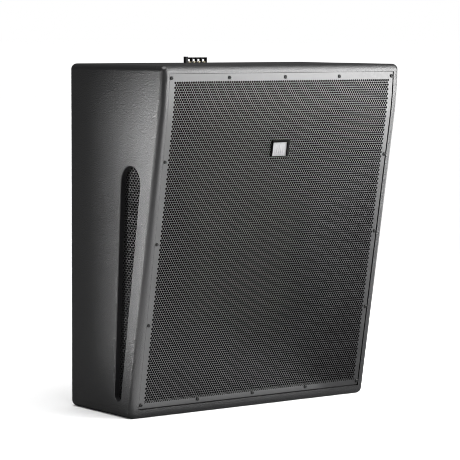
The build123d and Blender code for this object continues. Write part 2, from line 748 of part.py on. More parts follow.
def terminal_screw(x, y):
    """Slotted clamp screw of one terminal."""
    seat = HEIGHT + STRIP_BASE_T + CLAMP_PLATE_T
    screw = disc(CLAMP_HEAD_R, seat, seat + CLAMP_HEAD_H, x, y)
    screw = chamfer(screw.faces().sort_by(Axis.Z)[-1].edges(), 0.3)
    screw += disc(CLAMP_SCREW_R, seat - CLAMP_SCREW_LENGTH, seat, x, y)
    slot_z = seat + CLAMP_HEAD_H
    slot = Box(3 * CLAMP_HEAD_R, CLAMP_SLOT_W, 2 * CLAMP_SLOT_DEPTH)
    return screw - Pos(x, y, slot_z) * slot


def terminal_strip_screws():
    """Two countersunk screws down through the end barriers into the top panel."""
    heights = [HEIGHT + END_BLOCK_H, HEIGHT + BARRIER_H]
    screws = []
    for (x, y), top in zip(strip_fixing_places(), heights):
        low = HEIGHT - STRIP_SCREW_DEPTH
        screws.append(disc(STRIP_SCREW_R, low, top - STRIP_SCREW_SINK, x, y))
    return screws


# ---------------------------------------------------------------- woofer
def woofer_frame():
    """Cast basket with eight windows; its flange lies flush in the baffle."""
    low = -BASKET_DEPTH
    outline = [(164, 0), (WOOFER_R, 0), (WOOFER_R, -WOOFER_FLANGE_T), (176, -WOOFER_FLANGE_T)]
    outline += [(98, low + 10), (98, low), (44, low)]
    outline += [(44, low + 7), (84, low + 7), (84, low + 13), (94, low + 13), (164, -16)]
    basket = turned(outline)
    window = block(90, 180, -31, 31, -82, -22)
    for _, _, angle in on_circle(BASKET_WINDOWS, 1.0):
        basket -= Rot(0, 0, angle) * window
    for x, y, _ in on_circle(WOOFER_SCREWS, WOOFER_SCREW_PCD_R, WOOFER_SCREW_START):
        basket -= disc(WOOFER_SCREW_R + 0.2, -2 * WOOFER_FLANGE_T, SLACK, x, y)
    return on_baffle(basket, WOOFER_UP)


def woofer_gasket():
    """Foam ring round the front of the flange, cut away round the screw heads."""
    foam = ring(GASKET_R, GASKET_INNER_R, 0.0, GASKET_T)
    for x, y, _ in on_circle(WOOFER_SCREWS, WOOFER_SCREW_PCD_R, WOOFER_SCREW_START):
        foam -= disc(WOOFER_SCREW_HEAD_R + 0.6, -SLACK, GASKET_T + SLACK, x, y)
    return [on_baffle(piece, WOOFER_UP) for piece in foam.solids()]


def woofer_surround():
    """Half-roll surround with a lip on the flange."""
    section = Circle(SURROUND_ROLL_R) - Circle(SURROUND_ROLL_R - SURROUND_T)
    roll = revolve(Plane.XZ * Pos(SURROUND_R, SURROUND_Z) * section, Axis.Z)
    roll &= disc(WOOFER_R, SURROUND_Z, SURROUND_ROLL_R)
    wall_r = SURROUND_R + SURROUND_ROLL_R
    wall = ring(wall_r, wall_r - SURROUND_T, SURROUND_Z, SURROUND_T)
    lip = ring(GASKET_INNER_R - 1, wall_r - SURROUND_T, FIT_GAP, SURROUND_T)
    return on_baffle(roll + wall + lip, WOOFER_UP)


def woofer_cone():
    """Paper cone from the surround down to the voice coil's former."""
    neck_r = COIL_R + 0.7
    outline = [
        (neck_r, CONE_NECK_Z),
        (CONE_R, CONE_RIM_Z),
        (CONE_R, CONE_RIM_Z + CONE_T),
        (neck_r, CONE_NECK_Z + CONE_T),
    ]
    return on_baffle(turned(outline), WOOFER_UP)


def woofer_dust_cap():
    """Domed cap over the coil, seated on the cone."""
    return on_baffle(dome_shell(DUST_CAP_R, DUST_CAP_Z, DUST_CAP_RISE, 1.2), WOOFER_UP)


def woofer_voice_coil():
    """Former and winding, free in the magnet's gap."""
    coil = ring(COIL_R + 0.4, COIL_R - 0.4, COIL_LOW_Z, DUST_CAP_Z)
    coil += ring(COIL_R + 1.0, COIL_R + 0.3, WINDING_LOW_Z, WINDING_HIGH_Z)
    return on_baffle(coil, WOOFER_UP)


def woofer_spider():
    """Corrugated centring disc between the coil's former and the basket."""
    inner = COIL_R + 0.8
    rim = 6.0
    steps = 16
    radii = [inner + (SPIDER_R - rim - inner) * i / steps for i in range(steps + 1)]
    rises = [SPIDER_WAVE if i % 2 else 0.0 for i in range(steps + 1)]
    upper = [(r, SPIDER_Z + h) for r, h in zip(radii, rises)]
    lower = [(r, SPIDER_Z - SPIDER_T + h) for r, h in zip(radii, rises)]
    outline = upper + [(SPIDER_R, SPIDER_Z), (SPIDER_R, SPIDER_Z - SPIDER_T)] + lower[::-1]
    return on_baffle(turned(outline), WOOFER_UP)


def woofer_motor():
    """Top plate, ferrite ring, and back plate with vented pole."""
    top = -BASKET_DEPTH
    magnet_top = top - TOP_PLATE_T
    magnet_low = magnet_top - WOOFER_MAGNET_T
    low = magnet_low - TOP_PLATE_T
    pole = [
        (POLE_VENT_R, top),
        (POLE_R, top),
        (POLE_R, magnet_low),
        (TOP_PLATE_R, magnet_low),
        (TOP_PLATE_R, low),
        (POLE_VENT_R, low),
    ]
    pieces = {
        "woofer_top_plate": ring(TOP_PLATE_R, COIL_R + 1.7, magnet_top, top),
        "woofer_magnet": ring(WOOFER_MAGNET_R, WOOFER_MAGNET_INNER_R, magnet_low, magnet_top),
        "woofer_back_plate": turned(pole),
    }
    return {name: on_baffle(piece, WOOFER_UP) for name, piece in pieces.items()}


def woofer_fixings():
    """Eight socket screws and the tee nuts behind the baffle that they run into."""
    screws = []
    nuts = []
    for x, y, _ in on_circle(WOOFER_SCREWS, WOOFER_SCREW_PCD_R, WOOFER_SCREW_START):
        screw = disc(WOOFER_SCREW_HEAD_R, 0, WOOFER_SCREW_HEAD_H, x, y)
        screw += disc(WOOFER_SCREW_R, -WOOFER_SCREW_LENGTH, 0, x, y)
        screw -= Pos(x, y, 2) * extrude(RegularPolygon(WOOFER_SCREW_SOCKET_R, 6), WOOFER_SCREW_HEAD_H)
        nut = disc(TEE_NUT_FLANGE_R, -BAFFLE_T - TEE_NUT_FLANGE_T, -BAFFLE_T, x, y)
        nut += disc(TEE_NUT_R, -BAFFLE_T, -BAFFLE_T + TEE_NUT_LENGTH, x, y)
        nut -= disc(WOOFER_SCREW_R + FIT_GAP / 2, -2 * BAFFLE_T, 0, x, y)
        screws.append(on_baffle(screw, WOOFER_UP))
        nuts.append(on_baffle(nut, WOOFER_UP))
    return {"woofer_screws": screws, "woofer_tee_nuts": nuts}


# ---------------------------------------------------------------- horn and compression driver
def horn_screw_places():
    """Eight screws round the horn's flange, as (x, y) from its middle."""
    x = HORN_WIDTH / 2 - HORN_SCREW_INSET
    y = HORN_HEIGHT / 2 - HORN_SCREW_INSET
    rows = [(i * x, j * y) for i in (-1, 0, 1) for j in (-1, 1)]
    return rows + [(-x, 0), (x, 0)]


def flare(grow, deep):
    """The horn's flare through three rounded sections, grown outwards all round."""
    sections = [
        (0.0, HORN_MOUTH_W, HORN_MOUTH_H, HORN_CORNER_R),
        (HORN_WAIST_Z, HORN_WAIST_W, HORN_WAIST_H, HORN_CORNER_R),
        (-HORN_DEPTH, 2 * THROAT_R, 2 * THROAT_R, THROAT_R - 1),
    ]
    faces = []
    for z, width, height, corner in sections:
        outline = RectangleRounded(width + 2 * grow, height + 2 * grow, corner + grow * 0.9)
        faces.append(Pos(0, 0, z) * outline)
    return loft(faces, ruled=True) & block(-BEYOND, BEYOND, -BEYOND, BEYOND, -deep, SLACK)


def horn():
    """Moulded horn with its mouth flange and the flange that the driver bolts to."""
    rear = -HORN_DEPTH - DRIVER_FLANGE_T
    shell = flare(HORN_WALL, HORN_DEPTH)
    shell += extrude(RectangleRounded(HORN_WIDTH, HORN_HEIGHT, 6.0), -HORN_FLANGE_T)
    shell += disc(DRIVER_R, rear, -HORN_DEPTH)
    shell -= flare(0.0, HORN_DEPTH + SLACK)
    shell -= disc(THROAT_R, rear - SLACK, -HORN_DEPTH + SLACK)
    for x, y in horn_screw_places():
        shell -= disc(HORN_SCREW_R + 0.2, -HORN_FLANGE_T - SLACK, SLACK, x, y)
    for x, y, _ in on_circle(4, DRIVER_BOLT_PCD_R, 45):
        shell -= disc(DRIVER_BOLT_R + 0.2, rear - SLACK, -HORN_DEPTH + SLACK, x, y)
    return on_baffle(shell, HORN_UP)


def horn_screws():
    """Eight pan-head screws through the flange into the baffle."""
    screws = []
    for x, y in horn_screw_places():
        screw = disc(HORN_SCREW_HEAD_R, 0, 2.5, x, y)
        screw += disc(HORN_SCREW_R, -HORN_FLANGE_T, 0, x, y)
        screw += disc(HORN_PILOT_R, -BAFFLE_T + 3, -HORN_FLANGE_T, x, y)
        screws.append(on_baffle(screw, HORN_UP))
    return screws


def four_bores(radius, low, high):
    """A bore for each of the driver's four mounting bolts."""
    return [disc(radius, low, high, x, y) for x, y, _ in on_circle(4, DRIVER_BOLT_PCD_R, 45)]


def phase_plug():
    """Tapered plug in the pole's bore, held by three thin vanes."""
    back = HF_TOP_PLATE_BACK_Z
    plug = turned([(0, PLUG_FRONT_Z), (1.5, PLUG_FRONT_Z), (PLUG_R, back), (0, back)])
    vane = block(0, HF_POLE_BORE_R - 0.3, -0.8, 0.8, back + 0.5, back + 4)
    for _, _, angle in on_circle(3, 1.0):
        plug += Rot(0, 0, angle) * vane
    return plug


def compression_driver():
    """Driver behind the horn: pole piece with the throat, magnet, top plate, plug and cover."""
    front = -HORN_DEPTH - DRIVER_FLANGE_T
    pole = [
        (THROAT_R, 0),
        (DRIVER_R, 0),
        (DRIVER_R, -POLE_PLATE_T),
        (HF_POLE_R, -POLE_PLATE_T),
        (HF_POLE_R, HF_TOP_PLATE_BACK_Z),
        (HF_POLE_BORE_R, HF_TOP_PLATE_BACK_Z),
    ]
    magnet = ring(HF_MAGNET_R, HF_MAGNET_INNER_R, HF_MAGNET_BACK_Z, -POLE_PLATE_T - 0.05)
    dome = dome_shell(DIAPHRAGM_R, DIAPHRAGM_Z, DIAPHRAGM_RISE, DIAPHRAGM_T)
    skirt = ring(DIAPHRAGM_R, DIAPHRAGM_R - 0.7, DIAPHRAGM_Z, DIAPHRAGM_Z - DIAPHRAGM_RISE)
    cover = disc(DRIVER_R, REAR_COVER_Z, HF_TOP_PLATE_BACK_Z - 0.5)
    cover -= disc(DRIVER_R - REAR_COVER_T, REAR_COVER_Z + REAR_COVER_T, HF_TOP_PLATE_BACK_Z + SLACK)
    plate_front = HF_MAGNET_BACK_Z - 0.05
    pieces = {
        "hf_pole_piece": turned(pole) - four_bores(DRIVER_BOLT_R + 0.2, -POLE_PLATE_T - SLACK, SLACK),
        "hf_magnet": magnet - four_bores(DRIVER_BOLT_HEAD_R, -DRIVER_BOLT_LENGTH, -POLE_PLATE_T / 2),
        "hf_top_plate": ring(DRIVER_R, DIAPHRAGM_R + 0.6, HF_TOP_PLATE_BACK_Z, plate_front),
        "hf_phase_plug": phase_plug(),
        "hf_diaphragm": dome + skirt,
        "hf_rear_cover": cover,
    }
    return {name: on_baffle(Pos(0, 0, front) * piece, HORN_UP) for name, piece in pieces.items()}


def hf_mounting_bolts():
    """Four bolts from the horn's rear flange into the driver."""
    bolts = []
    seat = -HORN_DEPTH
    head_room = flare(HORN_WALL + 0.5, HORN_DEPTH)
    for x, y, _ in on_circle(4, DRIVER_BOLT_PCD_R, 45):
        bolt = disc(DRIVER_BOLT_R, seat - DRIVER_BOLT_LENGTH, seat, x, y)
        bolt += disc(DRIVER_BOLT_HEAD_R, seat, seat + DRIVER_BOLT_HEAD_H, x, y) - head_room
        bolts.append(on_baffle(bolt, HORN_UP))
    return bolts


# ---------------------------------------------------------------- crossover
def crossover():
    """Board on spacers on the back panel, with air coils and film capacitors."""
    board_back = INNER_BACK_Y - SPACER_LENGTH
    board_front = board_back - BOARD_T
    low_x, high_x = BOARD_X
    low_z, high_z = BOARD_Z
    middle_z = (low_z + high_z) / 2
    coils = []
    for x in COIL_PLACES_X:
        front = board_front - AIR_COIL_LENGTH
        coil = along_y(AIR_COIL_R, front, board_front, x, middle_z)
        coils.append(coil - along_y(AIR_COIL_BORE_R, front - SLACK, board_front + SLACK, x, middle_z))
    can_y = board_front - CAPACITOR_R - 0.2
    can = Cylinder(CAPACITOR_R, CAPACITOR_LENGTH)
    cans_x = [CAPACITOR_FIRST_X + CAPACITOR_PITCH * i for i in range(CAPACITOR_COUNT)]
    corners_x = (low_x + SPACER_INSET, high_x - SPACER_INSET)
    corners_z = (low_z + SPACER_INSET, high_z - SPACER_INSET)
    corners = [(x, z) for x in corners_x for z in corners_z]
    return {
        "crossover_board": block(low_x, high_x, board_front, board_back, low_z, high_z),
        "crossover_spacers": [along_y(SPACER_R, board_back, INNER_BACK_Y, *at) for at in corners],
        "crossover_coils": coils,
        "crossover_capacitors": [Pos(x, can_y, middle_z) * can for x in cans_x],
    }


# ---------------------------------------------------------------- assembly
def all_nodes():
    """Every sub-part by name; a list is a group of separate solids."""
    envelope = rounded_envelope()
    left_side = side_panel(envelope)
    nodes = {
        "left_side_panel": left_side,
        "right_side_panel": mirrored(left_side),
        "top_panel": top_panel(envelope),
        "bottom_panel": bottom_panel(envelope),
        "back_panel": back_panel(envelope),
        "wall_bracket_inserts": wall_bracket_inserts(),
        "front_baffle": front_baffle(),
        "cross_brace": cross_brace(),
        "baffle_strut": baffle_strut(),
        "front_grille": front_grille(),
        "grille_foam": grille_foam(),
        "badge_frame": badge_frame(),
        "badge_plate": badge_plate(),
        "terminal_strip_body": terminal_strip_body(),
        "terminal_marker_bar": terminal_marker_bar(),
        "terminal_contacts": terminal_contacts(),
        "terminal_strip_screws": terminal_strip_screws(),
        "woofer_frame": woofer_frame(),
        "woofer_gasket": woofer_gasket(),
        "woofer_surround": woofer_surround(),
        "woofer_cone": woofer_cone(),
        "woofer_dust_cap": woofer_dust_cap(),
        "woofer_voice_coil": woofer_voice_coil(),
        "woofer_spider": woofer_spider(),
        "horn": horn(),
        "horn_screws": horn_screws(),
        "hf_mounting_bolts": hf_mounting_bolts(),
    }
    nodes.update(battens())
    nodes.update(linings())
    nodes.update(woofer_motor())
    nodes.update(woofer_fixings())
    nodes.update(compression_driver())
    nodes.update(crossover())
    screw = grille_screw()
    insert = grille_screw_insert()
    places = grille_screw_places()
    nodes["grille_screws"] = [place * Pos(0, 0, -SHEET_INSET) * screw for place in places]
    nodes["grille_screw_inserts"] = [place * insert for place in places]
    for name, shape in (("port_mesh", port_mesh()), ("port_duct", port_duct())):
        nodes["left_" + name] = shape
        nodes["right_" + name] = mirrored(shape)
    for number, (x, y) in enumerate(stud_places(), start=1):
        nodes["terminal_screw_" + str(number)] = terminal_screw(x, y)
    return nodes


for node, shape in all_nodes().items():
    group = shape if isinstance(shape, list) else [shape]
    solids = [solid for item in group for solid in item.solids()]
    part = solids[0] if len(solids) == 1 else Compound(children=solids)
    export_step(part, "parts/" + node + ".step")
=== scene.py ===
"""Looks of the wedge-fronted loudspeaker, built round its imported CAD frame. Metres, front towards -Y."""
import json
import math

import bpy
from mathutils import Matrix, Vector


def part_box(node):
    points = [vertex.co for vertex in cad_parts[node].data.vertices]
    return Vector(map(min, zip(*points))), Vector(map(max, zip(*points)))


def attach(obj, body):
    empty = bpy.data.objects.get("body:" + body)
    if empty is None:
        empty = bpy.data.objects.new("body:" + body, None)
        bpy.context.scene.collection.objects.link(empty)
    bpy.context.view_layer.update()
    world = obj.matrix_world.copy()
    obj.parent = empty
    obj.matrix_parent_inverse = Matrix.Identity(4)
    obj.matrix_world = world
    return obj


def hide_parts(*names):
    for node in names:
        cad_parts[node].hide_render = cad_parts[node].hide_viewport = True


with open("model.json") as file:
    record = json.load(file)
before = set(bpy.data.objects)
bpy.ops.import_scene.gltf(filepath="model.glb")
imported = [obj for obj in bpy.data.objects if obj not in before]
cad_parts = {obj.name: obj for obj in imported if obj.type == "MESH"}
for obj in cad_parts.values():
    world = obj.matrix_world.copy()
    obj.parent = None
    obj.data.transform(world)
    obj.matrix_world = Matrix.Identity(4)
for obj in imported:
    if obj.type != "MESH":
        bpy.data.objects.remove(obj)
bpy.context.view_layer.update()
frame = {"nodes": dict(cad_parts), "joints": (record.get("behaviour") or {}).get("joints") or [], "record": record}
MM = 0.001

# ---------------------------------------------------------------- sizes read from the frame
NODES = frame["nodes"]
JOINTS = {joint["name"]: joint for joint in frame["joints"]}
HALF_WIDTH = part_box("right_side_panel")[1].x
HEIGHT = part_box("left_side_panel")[1].z
BACK_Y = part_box("back_panel")[1].y
FRONT_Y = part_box("left_side_panel")[0].y
SHEET_LOW, SHEET_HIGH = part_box("front_grille")
OUTWARD = Vector(JOINTS["cone_slide"]["axis"])
LEAN = math.atan2(-OUTWARD.z, -OUTWARD.y)

# The front rolls from upright at the top edge to the full lean over BEND_DROP.
BEND_DROP = 132 * MM
BEND_R = BEND_DROP / math.sin(LEAN)
BEND_LENGTH = BEND_R * LEAN
SHEET_T = 1.5 * MM
SHEET_INSET = 0.5 * MM

# ---------------------------------------------------------------- perforated sheets
HOLE_SIDES = 12
HOLE_R = 2.38 * MM
HOLE_ROLL = 0.45 * MM  # punched and painted edge rolls over this far
HOLE_ROLL_DEPTH = 0.2 * MM
HOLE_PITCH = 6.35 * MM
GRILLE_FIRST_ROW = 38.8 * MM  # down the front from its top edge
GRILLE_ROWS = 137
GRILLE_HOLES = 99  # in the longer rows
GRILLE_BANDS = 7
PORT_MESH_T = 1.0 * MM
PORT_TOP_Y = BACK_Y - 259.5 * MM
PORT_TOP_Z = 545 * MM
PORT_TOP_R = 39 * MM
PORT_LOW_Y = BACK_Y - 205.5 * MM
PORT_LOW_Z = 51 * MM
PORT_LOW_R = 14 * MM
PORT_LEDGE = 5.8 * MM  # the mesh reaches this far past the slot
PORT_RING = 96  # points round the slot
PORT_FOAM_T = 3 * MM
PORT_FOAM_GAP = 0.3 * MM

# ---------------------------------------------------------------- screws and badge
SCREW_HEAD_R = 4.5 * MM
SCREW_HEAD_H = 2.6 * MM
SCREW_SIDE_H = 0.5 * MM
SCREW_FLAT_R = 2.3 * MM
SCREW_SOCKET = 1.5 * MM  # middle to flat
SCREW_SOCKET_Z = 1.0 * MM
SCREW_R = 2.5 * MM
SCREW_LENGTH = 10 * MM
SCREW_SIDES = 36
SCREW_DOME_STEPS = 6
SCREW_LIP = 0.15 * MM  # chamfer round the socket
SCREW_SPIN = 37  # degrees from each screw to the next
SCREWS_ALONG = 5  # along each edge of the grille, corners counted twice
SCREW_INSET_SIDE = 25.5 * MM
SCREW_INSET_TOP = 28.5 * MM
SCREW_INSET_BOTTOM = 33 * MM
BADGE_PLATE_T = 1.0 * MM
BADGE_CORNER_R = 1.1 * MM
BADGE_EDGE = 0.2 * MM
BADGE_RELIEF = 0.45 * MM
BAR_HEIGHTS = (0.4, 0.75, 1.0, 0.6, 0.85)  # as shares of the tallest
BAR_TALLEST = 0.56  # share of the plate's height
BAR_WIDTH = 0.07  # share of the plate's width
BAR_STEP = 0.14  # share of the plate's width
BAR_CORNER_R = 0.9 * MM
BAR_EDGE = 0.25 * MM
EDGE_STEPS = 3

# ---------------------------------------------------------------- camera and stage
CAMERA_AT = (-3.2253, -4.3446, 0.8896)
CAMERA_YAW = 36.446
CAMERA_DOWN = 4.991
CAMERA_ROLL = 0.181
CAMERA_LENS = 177.36
CAMERA_SENSOR = 36.0
CAMERA_REACH = 200.0
FLOOR_SIZE = 400.0
FLOOR_BOUNCE = (0.2, 0.2, 0.2, 1)  # the floor's colour for all but the camera
BACKDROP_LIGHT = 0.08  # the backdrop's strength for all but the camera


# ---------------------------------------------------------------- the front's shape
def front_point(across, down, behind):
    """A point at a distance down the front from the top edge, and behind its face."""
    turn = min(down / BEND_R, LEAN)
    rest = max(down - BEND_LENGTH, 0.0)
    straight = rest * math.cos(LEAN)
    y = FRONT_Y + BEND_R * (1 - math.cos(turn)) + rest * math.sin(LEAN) + behind * math.cos(turn)
    z = HEIGHT - BEND_R * math.sin(turn) - straight + behind * math.sin(turn)
    return Vector((across, y, z))


def down_at(z):
    """Distance down the front at a height."""
    drop = HEIGHT - z
    if drop < BEND_DROP:
        return BEND_R * math.asin(drop / BEND_R)
    return BEND_LENGTH + (drop - BEND_DROP) / math.cos(LEAN)


def front_turn(down):
    """Rotation of a frame on the front: X across, Y up the front, Z outwards."""
    turn = min(down / BEND_R, LEAN)
    outward = Vector((0, -math.cos(turn), -math.sin(turn)))
    upward = Vector((0, -math.sin(turn), math.cos(turn)))
    return Matrix((Vector((1, 0, 0)), upward, outward)).transposed().to_4x4()


# ---------------------------------------------------------------- pieces
def shade_by_angle(mesh, degrees):
    """Smooth shading, with every edge sharper than the angle kept crisp."""
    mesh.polygons.foreach_set("use_smooth", [True] * len(mesh.polygons))
    mesh.set_sharp_from_angle(angle=math.radians(degrees))


def add_piece(name, mesh, materials, replaced=(), smooth=35.0):
    """Links a mesh as a piece that rides on the cabinet."""
    shade_by_angle(mesh, smooth)
    for material in materials:
        mesh.materials.append(material)
    piece = bpy.data.objects.new(name, mesh)
    bpy.context.scene.collection.objects.link(piece)
    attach(piece, "cabinet")
    if replaced:
        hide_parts(*replaced)
    return piece


class Shape:
    """Points and faces of one mesh as it is put together."""

    def __init__(self):
        self.points = []
        self.faces = []

    def loft(self, rings, matrix):
        """Closed skin over rings of equal length, each counter-clockwise seen from the last ring."""
        rows = []
        for ring in rings:
            first = len(self.points)
            self.points += [matrix @ point for point in ring]
            rows.append(range(first, first + len(ring)))
        for lower, upper in zip(rows, rows[1:]):
            for i in range(len(lower)):
                j = (i + 1) % len(lower)
                self.faces.append((lower[i], lower[j], upper[j], upper[i]))
        self.faces.append(tuple(reversed(rows[0])))
        self.faces.append(tuple(rows[-1]))

    def mesh(self, name):
        made = bpy.data.meshes.new(name)
        made.from_pydata([tuple(point) for point in self.points], [], self.faces)
        made.update()
        return made


def round_ring(radius, z):
    """Ring of points about Z."""
    turns = [2 * math.pi * i / SCREW_SIDES for i in range(SCREW_SIDES)]
    return [Vector((radius * math.cos(t), radius * math.sin(t), z)) for t in turns]


def hexagon_ring(apothem, z):
    """Ring of points on a hexagon about Z."""
    sixth = math.pi / 3
    points = []
    for i in range(SCREW_SIDES):
        turn = 2 * math.pi * i / SCREW_SIDES
        radius = apothem / math.cos(turn % sixth - sixth / 2)
        points.append(Vector((radius * math.cos(turn), radius * math.sin(turn), z)))
    return points


def rounded_rectangle(width, height, radius, z, x=0.0, y=0.0, steps=6):
    """Ring of points on a rectangle with round corners."""
    points = []
    for corner, (i, j) in enumerate(((1, 1), (-1, 1), (-1, -1), (1, -1))):
        for step in range(steps + 1):
            turn = math.pi / 2 * (corner + step / steps)
            px = x + i * (width / 2 - radius) + radius * math.cos(turn)
            py = y + j * (height / 2 - radius) + radius * math.sin(turn)
            points.append(Vector((px, py, z)))
    return points


# ---------------------------------------------------------------- perforated sheets
class Perforation:
    """Flat pattern of staggered round holes in hexagonal cells; u runs across and v up."""

    def __init__(self):
        self.row_pitch = HOLE_PITCH * math.sqrt(3) / 2
        self.reach = HOLE_PITCH / math.sqrt(3)
        self.points = []
        self.faces = []
        self.known = {}
        self.throats = {}

    def corner(self, u, v):
        """Number of a point that neighbouring faces share."""
        key = (round(u / HOLE_PITCH * 8), round(v / HOLE_PITCH * 8))
        if key not in self.known:
            self.known[key] = len(self.points)
            self.points.append((u, v))
        return self.known[key]

    def face(self, *corners):
        self.faces.append(tuple(self.corner(u, v) for u, v in corners))

    def cell(self, u, v):
        """One hexagon with a round hole."""
        half = HOLE_PITCH / 2
        offsets = ((half, 0.5), (0, 1), (-half, 0.5), (-half, -0.5), (0, -1), (half, -0.5))
        corners = [self.corner(u + du, v + self.reach * dv) for du, dv in offsets]
        first = len(self.points)
        rim = HOLE_R + HOLE_ROLL
        for i in range(HOLE_SIDES):
            turn = math.pi / 6 + 2 * math.pi * i / HOLE_SIDES
            self.throats[first + i] = (u + HOLE_R * math.cos(turn), v + HOLE_R * math.sin(turn))
            self.points.append((u + rim * math.cos(turn), v + rim * math.sin(turn)))
        for side in range(6):
            here = corners[side]
            there = corners[(side + 1) % 6]
            near = first + 2 * side
            middle = near + 1
            far = first + (2 * side + 2) % HOLE_SIDES
            self.faces += [(here, there, middle), (here, middle, near), (there, far, middle)]

    def sheet(self, name, place, thickness):
        """Closed mesh: both faces of the sheet, then, in the second material, its holes and edges."""
        count = len(self.points)
        edges = set()
        for face in self.faces:
            edges.update(zip(face, face[1:] + face[:1]))
        backs = [self.throats.get(i, point) for i, point in enumerate(self.points)]
        lips = {i: 2 * count + n for n, i in enumerate(self.throats)}
        shape = Shape()
        shape.points = [place(u, v, 0.0) for u, v in self.points]
        shape.points += [place(u, v, thickness) for u, v in backs]
        shape.points += [place(u, v, HOLE_ROLL_DEPTH) for u, v in self.throats.values()]
        shape.faces = list(self.faces)
        shape.faces += [tuple(i + count for i in reversed(face)) for face in self.faces]
        flat = len(shape.faces)
        for a, b in sorted(edges):
            if (b, a) in edges:
                continue
            if a in lips:
                shape.faces.append((b, a, lips[a], lips[b]))
                shape.faces.append((lips[b], lips[a], a + count, b + count))
            else:
                shape.faces.append((b, a, a + count, b + count))
        mesh = shape.mesh(name)
        # The second material is painted shade on the rims, hole walls and edges.
        for polygon in mesh.polygons[flat:]:
            polygon.material_index = 1
        return mesh


def grille_row(row):
    """Places across of the holes in one row of the grille."""
    holes = GRILLE_HOLES - row % 2
    return [(i - (holes - 1) / 2) * HOLE_PITCH for i in range(holes)]


def grille_v(pattern, row):
    """Height in the pattern of one row of the grille, measured up from the top edge."""
    return -(GRILLE_FIRST_ROW + row * pattern.row_pitch)


def grille_place(u, v, behind):
    return front_point(u, -v, SHEET_INSET + behind)


def grille_band(name, first_row, last_row):
    """Perforated band of the grille from one row up to another."""
    pattern = Perforation()
    for row in range(first_row, last_row):
        for u in grille_row(row):
            pattern.cell(u, grille_v(pattern, row))
    return pattern.sheet(name, grille_place, SHEET_T)


def grille_border(name):
    """Plain border of the grille, whose inner edge follows the outermost cells."""
    pattern = Perforation()
    left = SHEET_LOW.x
    right = SHEET_HIGH.x
    steps = []
    for row in range(GRILLE_ROWS):
        inner = grille_row(row)[-1] + HOLE_PITCH / 2
        v = grille_v(pattern, row)
        steps += [(inner, v + pattern.reach / 2), (inner, v - pattern.reach / 2)]
    for (u_a, v_a), (u_b, v_b) in zip(steps, steps[1:]):
        pattern.face((u_b, v_b), (right, v_b), (right, v_a), (u_a, v_a))
        pattern.face((-u_a, v_a), (left, v_a), (left, v_b), (-u_b, v_b))
    add_border_end(pattern, 0, -down_at(SHEET_HIGH.z), 1)
    add_border_end(pattern, GRILLE_ROWS - 1, -down_at(SHEET_LOW.z), -1)
    return pattern.sheet(name, grille_place, SHEET_T)


def add_border_end(pattern, row, outer_v, side):
    """Border above the first row (side 1) or below the last (side -1), out to the sheet's edge."""
    half = HOLE_PITCH / 2
    v = grille_v(pattern, row)
    low = v + side * pattern.reach / 2
    places = grille_row(row)
    inner = [(SHEET_LOW.x, low), (places[0] - half, low)]
    for u in places:
        inner += [(u, v + side * pattern.reach), (u + half, low)]
    inner.append((SHEET_HIGH.x, low))
    for a, b in zip(inner, inner[1:]):
        quad = [a, b, (b[0], outer_v), (a[0], outer_v)]
        pattern.face(*quad[::side])


def make_grille(materials):
    """The grille: its plain border and the perforated bands inside it."""
    border = grille_border("grille_border")
    add_piece("grille_border", border, materials, ["front_grille"])
    edges = [round(GRILLE_ROWS * i / GRILLE_BANDS) for i in range(GRILLE_BANDS + 1)]
    for number, (first, last) in enumerate(zip(edges, edges[1:]), start=1):
        name = "grille_band_" + str(number)
        add_piece(name, grille_band(name, first, last), materials, smooth=45.0)


def outside_port(y, z):
    """Distance outside the port's tapered slot, negative inside it."""
    along_y = PORT_LOW_Y - PORT_TOP_Y
    along_z = PORT_LOW_Z - PORT_TOP_Z
    length = math.hypot(along_y, along_z)
    along = ((y - PORT_TOP_Y) * along_y + (z - PORT_TOP_Z) * along_z) / length
    aside = abs((y - PORT_TOP_Y) * along_z - (z - PORT_TOP_Z) * along_y) / length
    taper = (PORT_TOP_R - PORT_LOW_R) / length
    slant = math.sqrt(1 - taper * taper)
    reach = along * slant - aside * taper
    if reach < 0:
        return math.hypot(aside, along) - PORT_TOP_R
    if reach > slant * length:
        return math.hypot(aside, along - length) - PORT_LOW_R
    return aside * slant + along * taper - PORT_TOP_R


def make_port_mesh(side, materials):
    """Perforated sheet at the back of one side port; side is -1 on the left and 1 on the right."""
    node = ("left" if side < 0 else "right") + "_port_mesh"
    low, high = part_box(node)
    outer_x = max(high.x, -low.x)
    pattern = Perforation()
    rows = round((high.z - low.z) / pattern.row_pitch)
    holes = round((high.y - low.y) / HOLE_PITCH)
    for row in range(rows):
        z = low.z + (row + 0.5) * pattern.row_pitch
        for i in range(holes + 1):
            y = low.y + (i + row % 2 / 2) * HOLE_PITCH
            if outside_port(y, z) < PORT_LEDGE - pattern.reach:
                pattern.cell(side * y, z)

    def place(u, v, behind):
        return Vector((side * (outer_x - behind), side * u, v))

    sheet = pattern.sheet(node + "_sheet", place, PORT_MESH_T)
    add_piece(node + "_sheet", sheet, materials, [node], smooth=45.0)


def port_ring(x):
    """Outline just inside the port's slot, counter-clockwise seen from +X."""
    top = (PORT_TOP_Y, PORT_TOP_Z, PORT_TOP_R - PORT_FOAM_GAP)
    bottom = (PORT_LOW_Y, PORT_LOW_Z, PORT_LOW_R - PORT_FOAM_GAP)
    points = []
    for i in range(PORT_RING):
        turn = 2 * math.pi * i / PORT_RING
        out_y = math.cos(turn)
        out_z = math.sin(turn)
        y, z, r = max(top, bottom, key=lambda end: end[0] * out_y + end[1] * out_z + end[2])
        points.append(Vector((x, y + r * out_y, z + r * out_z)))
    return points


